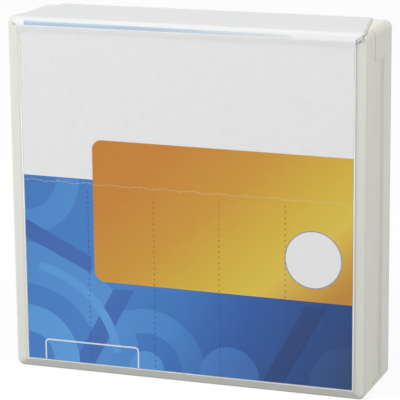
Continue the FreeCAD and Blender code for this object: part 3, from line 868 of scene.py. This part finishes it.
@dataclass
class StorageCase:
    """Book-style case: its packed shells get their plastic, and film sheets with welded seams cover the card."""

    front: Panel = Panel("front", Body.LID, -1.0, 55.6, 111.8, -54.55, 55.53, 111.8)
    back: Panel = Panel("back", Body.TRAY, 1.0, 52.5, 114.45, -52.2, 52.2, 114.3)
    film_foot: float = 2.4
    film_front_half: float = 58.4
    film_spine_rear: float = 14.35
    film_gauge: float = 0.04
    hinge: float = 112.4
    fold_slope: float = 1.1
    fold_radius: float = 2.4
    fold_end: float = 113.0
    plane: float = 14.95
    face: float = 15.4
    roof: float = 115.5
    skin: float = 0.01
    seam_width: float = 0.38
    seam_height: float = 0.07
    seam_lift: float = 0.26
    seam_round: float = 0.6
    seam_foot: float = 2.93
    band: float = 58.48
    step: float = 5.1

    def add_film(self, name: str, points: np.ndarray, body: Body, node: str, material: Material) -> None:
        """Adds a sheet of film, its gauge inwards from the points, in place of a packed one.

        Args:
            name: Name of the piece.
            points: Grid of places on its outer face in mm.
            body: Body that carries it.
            node: Packed film that this sheet stands for.
            material: Finish of the film.
        """
        sheet = surface_mesh(name, points, material)
        gauge = sheet.modifiers.new("gauge", "SOLIDIFY")
        gauge.thickness = self.film_gauge * MM
        gauge.offset = -1.0
        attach(sheet, body.value)
        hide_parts(node)

    def film_sheet(self, panel: Panel, material: Material) -> None:
        """Film over a panel's card: it lies on the card and falls to the panel within a millimetre of its rim.

        The height over the panel is a smooth step of the distance to the nearest of the two sides and the foot.

        Args:
            panel: The panel that it covers.
            material: Finish of the film.
        """
        low, climb, inner, count = 0.07, 0.37, 4, 24
        half, foot = panel.film_half, self.film_foot
        near = np.array([0.0, 0.15, 0.3, 0.45, 0.6, 0.8, 1.1, 2.0])
        x = np.concatenate([near - half, np.linspace(inner - half, half - inner, count), half - near[::-1]])
        z = np.concatenate([foot + near, np.linspace(foot + inner, panel.film_top, count)])
        across, rise = np.meshgrid(x * -panel.outwards, z)
        room = np.clip(np.minimum(half - np.abs(across), rise - foot), 0.0, 1.0)
        height = low + climb * room * room * (3 - 2 * room)
        points = np.stack([across, panel.outwards * (self.plane + height), rise], axis=-1)
        self.add_film("film_over_" + panel.end, points, panel.body, "film_" + panel.end, material)

    def film_over_spine(self, material: Material) -> None:
        """Film over the spine: a straight run that turns down the front along a quarter circle.

        Args:
            material: Finish of the film.
        """
        turn = np.linspace(math.pi / 2, math.pi, 13)
        radius = self.fold_radius - self.skin
        arc = np.stack([self.fold_radius - self.face + radius * np.cos(turn),
                        self.roof - self.fold_radius + radius * np.sin(turn)], axis=1)
        run = np.stack([np.linspace(self.film_spine_rear, arc[0, 0], 12)[:-1], np.full(11, self.roof - self.skin)],
                       axis=1)
        profile = np.concatenate([run, arc, [(self.skin - self.face, self.fold_end)]])
        depth, rise = profile[:, 0], profile[:, 1]
        along = (self.plane - depth) / (2 * self.plane)
        half = np.minimum(self.back.film_half + (self.film_front_half - self.back.film_half) * along,
                          self.front.film_half - 0.1 + (rise - self.hinge) * self.fold_slope)
        x = half[:, None] * np.linspace(1, -1, 25)
        points = np.stack(np.broadcast_arrays(x, depth[:, None], rise[:, None]), axis=-1)
        self.add_film("film_over_spine", points, Body.SPINE, "film_spine", material)

    def weld_seam(self, panel: Panel, material: Material) -> None:
        """Raised welded rim of the film, down one side of the card, along its foot and up the other.

        Args:
            panel: The panel that it lies on.
            material: Finish of the seam.
        """
        left, right, top, outwards = panel.seam_left, panel.seam_right, panel.seam_top, panel.outwards
        turn = np.linspace(0, math.pi / 2, 8)
        near, far = self.seam_round * (1 - np.cos(turn)), self.seam_round * (1 - np.sin(turn))
        flat = np.concatenate([[(left, top)], np.stack([left + near, self.seam_foot + far], axis=1),
                               np.stack([right - far, self.seam_foot + near], axis=1), [(right, top)]])
        ahead = np.gradient(flat, axis=0)
        ahead /= np.linalg.norm(ahead, axis=1, keepdims=True)
        path = np.insert(flat, 1, outwards * (self.plane + self.seam_lift), axis=1)
        across = np.insert(ahead[:, ::-1] * (1, -1), 1, 0, axis=1) * -outwards
        turn = np.linspace(0, math.tau, 13)[:-1]
        section = np.stack([np.cos(turn) * self.seam_width / 2, np.sin(turn) * self.seam_height], axis=1)
        seam = swept("film_seam_" + panel.end, path, across, np.array((0.0, outwards, 0.0)), section, material)
        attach(seam, panel.body.value)

    def front_fold(self, film: Material, card: Material) -> None:
        """Card and film over the front hinge, sheets that swell round its web.

        The swell is a cosine bell about the hinge line, longer below it, over the card's own flat and bent face.

        Args:
            film: Finish of the film.
            card: Finish of the card.
        """
        low, high, reach_below, swell_height, card_half = 110.4, 113.6, 2.0, 0.136, 55.7
        rise = np.linspace(low, high, 25)
        away = rise - self.hinge
        share = np.clip(np.where(away < 0, away / reach_below, away / SWELL_REACH), -1, 1)
        swell = swell_height * (0.5 + 0.5 * np.cos(math.pi * share))
        card_face = BEND_DEPTH + np.sqrt(BEND_RADIUS ** 2 - np.maximum(rise - BEND_FOOT, 0) ** 2)
        for name, half, lift, finish, slot in (("card_fold_front", card_half, 0.006, card, Slot.CARD),
                                               ("film_fold_front", self.front.film_half, 0.010, film, Slot.FILM)):
            y = -(card_face + lift + swell)
            points = np.stack(np.broadcast_arrays(np.linspace(-half, half, 15), y[:, None], rise[:, None]), axis=-1)
            sheet = surface_mesh(name, points, finish)
            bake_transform(sheet)

    def side_strips(self, name: str, edge: np.ndarray, depth: float, rise: np.ndarray,
                    section: list[tuple[float, float]], body: Body, material: Material) -> None:
        """Adds a strip up the right side wall and its mirror image up the left one.

        Args:
            name: Name of both pieces, without their side.
            edge: Distance of the strip from the middle in mm, at each height.
            depth: Its y in mm.
            rise: Heights in mm.
            section: Outline of the strip in mm, outwards and backwards from its place.
            body: Body that carries it.
            material: Finish of the strip.
        """
        for end, side in (("_right", 1), ("_left", -1)):
            path = np.insert(np.stack([side * edge, rise], axis=1), 1, depth, axis=1)
            across = np.tile((float(side), 0.0, 0.0), (len(rise), 1))
            strip = swept(name + end, path, across, np.array((0.0, 1.0, 0.0)), np.array(section)[::side], material,
                          smooth=False)
            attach(strip, body.value)

    def band_blends(self, material: Material) -> None:
        """Slim wedges that soften the step behind the sunk band of each side wall.

        Args:
            material: Finish of the wedges.
        """
        low, high = 1.7, 105.9
        rise = np.linspace(low, high, 12)
        wedge = [(0.0, 0.02), (0.0, -1.6), (0.49, -0.05), (0.49, 0.02)]
        self.side_strips("case_band_blend", np.full(12, self.band), self.step, rise, wedge, Body.TRAY, material)

    def corner_fillers(self, material: Material) -> None:
        """Thin lips on the lid that close most of the slanting gap beside the spine's front corners.

        Args:
            material: Finish of the lips.
        """
        low, high, depth = 112.3, 113.9, -14.6
        rise = np.linspace(low, high, 8)
        edge = self.front.film_half - 0.1 + (rise - self.hinge) * self.fold_slope
        lip = [(0.08, -0.5), (0.6, -0.5), (0.6, 1.2), (0.08, 1.2)]
        self.side_strips("case_corner_filler", edge, depth, rise, lip, Body.LID, material)

    def build(self) -> None:
        """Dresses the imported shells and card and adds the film, its seams and the front fold."""
        plastic = Polypropylene().build()
        card = CoatedCard().build()
        film = ClearFilm().build()
        # The seam's whitish cover stands partly for the frosted weld and partly for a painted glint along the film's
        # edge.
        seam = ClearFilm("polypropylene_film_weld_glint", "#F4F4F0", 0.66, 6.0).build()
        dress(("case_tray", "case_lid", "case_spine", "hinge_web_rear", "hinge_web_front"), plastic)
        dress(("card_front", "card_back"), card)
        # painted shade: the spine's card is a darker copy of the same white card, toning down its brighter-lit top
        dress(("card_spine",), CoatedCard("coated_card_white_spine_shaded", "#DADBDB", "#D6D7D7").build())
        panels = (self.front, self.back)
        for panel in panels:
            self.film_sheet(panel, film)
        self.film_over_spine(film)
        for panel in panels:
            self.weld_seam(panel, seam)
        self.front_fold(film, card)
        self.band_blends(plastic)
        self.corner_fillers(plastic)


@dataclass
class TapeCartridge:
    """Cartridge inside the case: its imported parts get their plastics, steel, tape and label."""

    reel_centre: tuple[float, float] = (0.0, 54.8)
    face: float = -12.7
    relief: float = 0.18
    sunk: float = 0.02

    def raised(self, name: str, outlines: list[np.ndarray], material: Material) -> None:
        """Adds low relief to the cartridge's front face.

        Args:
            name: Name of the piece.
            outlines: Outlines of the raised parts, x and z in mm.
            material: Finish of the relief.
        """
        piece = plates_mesh(name, outlines, self.face - self.relief, self.face + self.sunk, material)
        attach(piece, Body.TRAY.value)

    def front_relief(self, material: Material) -> None:
        """Grip ridges at both sides, a frame of four bars round the plain field and a triangle for the way in.

        Args:
            material: Finish of the relief.
        """
        pitch, width, height = 2.2, 6.5, 1.0
        ridges = [box(x, z, x + width, z + height) for x in (-49.5, 43.0) for z in np.arange(68.0, 96.0, pitch)]
        self.raised("cartridge_grip_ridges", ridges, material)
        bars = [box(-38.0, 22.0, 38.0, 23.2), box(-38.0, 86.8, 38.0, 88.0),
                box(-38.0, 23.4, -36.8, 86.6), box(36.8, 23.4, 38.0, 86.6)]
        self.raised("cartridge_field_frame", bars, material)
        self.raised("cartridge_way_triangle", [np.array([(-4.5, 94.0), (4.5, 94.0), (0.0, 101.5)])], material)

    def build(self) -> None:
        """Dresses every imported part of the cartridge."""
        shell = GrainedPlastic("polycarbonate_slate_moulded", "#2C3136", "#363B40").build()
        acetal = GrainedPlastic("acetal_natural_moulded", "#D8D8D0", "#CFCFC6", 0.38, 0.6, 0.01, 1.48).build()
        slider = GrainedPlastic("acetal_orange_moulded", "#C4652A", "#B95C25", 0.4, 0.6, 0.01, 1.48).build()
        leader = GrainedPlastic("polyester_leader_amber", "#8A7A55", "#7E6F4C", 0.2, 2.0, 0.005, 1.58).build()
        dress(("cartridge_base", "cartridge_cover", "cartridge_door", "door_lock"), shell)
        dress(("reel_hub", "reel_flange", "thrust_button", "brake_lever_right", "brake_lever_left"), acetal)
        dress(("write_protect_slider",), slider)
        dress(("tape_leader",), leader)
        dress(("shell_screws", "door_pin", "door_spring", "brake_springs"), DrawnSteel().build())
        dress(("tape_pack",), WoundTape(centre=self.reel_centre).build())
        dress(("cartridge_label",), MattPaper().build())
        self.front_relief(shell)


@dataclass
class Studio:
    """Plain pale floor, soft lamps and the camera at the photograph's angle."""

    camera_place: tuple[float, float, float] = (237.38, -650.52, 224.33)
    camera_target: tuple[float, float, float] = (4.9, -13.2, 59.89)
    lens: float = 200.89
    roll: float = -0.559
    ambient: float = 0.46
    bounce: float = 0.28
    key_power: float = 26.5
    side_power: float = 10.8
    aim_height: float = 0.05
    floor_white: float = 0.95
    floor_glow: float = 0.91
    floor_reach: float = 3000.0
    floor_height: float = -0.05

    def camera(self) -> None:
        """Places the camera by its measured place, target, focal length and roll."""
        data = bpy.data.cameras.new("camera")
        data.lens = self.lens
        data.sensor_width = 36.0
        data.clip_start = 0.01
        camera = bpy.data.objects.new("camera", data)
        place = Vector(self.camera_place) * MM
        aim = (Vector(self.camera_target) * MM - place).to_track_quat("-Z", "Y")
        camera.location = place
        camera.rotation_euler = aim.to_euler()
        camera.rotation_euler.rotate_axis("Z", math.radians(self.roll))
        bpy.context.scene.collection.objects.link(camera)
        bpy.context.scene.camera = camera

    def lamp(self, name: str, place: tuple[float, float, float], size: float, power: float) -> None:
        """Adds a soft square lamp that faces the object.

        Args:
            name: Name of the lamp.
            place: Place in metres.
            size: Side in metres.
            power: Power in watts.
        """
        data = bpy.data.lights.new(name, "AREA")
        data.shape = "SQUARE"
        data.size = size
        data.energy = power
        lamp = bpy.data.objects.new(name, data)
        lamp.location = place
        lamp.rotation_euler = (Vector((0.0, 0.0, self.aim_height)) - Vector(place)).to_track_quat("-Z", "Y").to_euler()
        bpy.context.scene.collection.objects.link(lamp)

    def seen_directly(self, tree: NodeTree) -> NodeSocket:
        """Gives 1 for camera, glossy and transmitted rays, and 0 for the rest.

        Args:
            tree: Node tree that gets the nodes.

        Returns:
            The output that carries the value.
        """
        path = add_node(tree, "LightPath")
        either = add_node(tree, "Math", {"operation": "MAXIMUM"},
                          {0: path.outputs["Is Camera Ray"], 1: path.outputs["Is Glossy Ray"]})
        either = add_node(tree, "Math", {"operation": "MAXIMUM"},
                          {0: either.outputs[0], 1: path.outputs["Is Transmission Ray"]})
        return either.outputs[0]

    def world(self) -> None:
        """White surroundings: full white where they are seen, and a plain soft level where they light the object."""
        world = bpy.data.worlds.new("soft_white_room")
        world.use_nodes = True
        tree = world.node_tree
        tree.nodes.clear()
        strength = add_node(tree, "MapRange", {"To Min": self.ambient, "To Max": 1.0},
                            {"Value": self.seen_directly(tree)})
        light = add_node(tree, "Background", {"Color": (1.0, 1.0, 1.0, 1.0)}, {"Strength": strength})
        add_node(tree, "OutputWorld", links={"Surface": light})
        bpy.context.scene.world = world

    def floor(self) -> None:
        """Pale floor that is almost the white of the surroundings and keeps the object's soft shadow."""
        material, tree, output = new_material("painted_board_white")
        seen = self.seen_directly(tree)
        shade = add_node(tree, "MapRange", {"To Min": self.bounce, "To Max": self.floor_white}, {"Value": seen})
        paint = add_node(tree, "BsdfDiffuse", links={"Color": shade})
        glow = add_node(tree, "Emission", {"Color": (1.0, 1.0, 1.0, 1.0), "Strength": 1.0})
        share = add_node(tree, "Math", {"operation": "MULTIPLY", 1: self.floor_glow}, {0: seen})
        both = add_node(tree, "MixShader", links={0: share, 1: paint, 2: glow})
        tree.links.new(both.outputs[0], output.inputs["Surface"])
        reach = np.linspace(-self.floor_reach, self.floor_reach, 9)
        x, y = np.meshgrid(reach, reach)
        points = np.insert(np.stack([x, y], axis=-1), 2, self.floor_height, axis=-1)
        floor = surface_mesh("floor", points, material, smooth=False)

    def build(self) -> None:
        """Makes the camera, the lamps, the surroundings and the floor."""
        self.camera()
        self.lamp("lamp_front_left", (-1.05, -1.15, 1.0), 0.9, self.key_power)
        self.lamp("lamp_right", (1.3, -0.5, 0.9), 0.8, self.side_power)
        self.world()
        self.floor()
        bpy.context.scene.view_settings.view_transform = "Standard"


def main() -> None:
    """Builds the case, its card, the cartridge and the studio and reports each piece."""
    logging.basicConfig(level=logging.INFO, format="%(name)s: %(message)s")
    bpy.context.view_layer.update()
    for part in (StorageCase(), InsertCard(), TapeCartridge(), Studio()):
        before = set(bpy.context.scene.objects.keys())
        part.build()
        for name in bpy.context.scene.objects.keys():
            if name not in before:
                LOG.info("%s added %s", type(part).__name__, name)


if __name__ == "__main__":
    main()
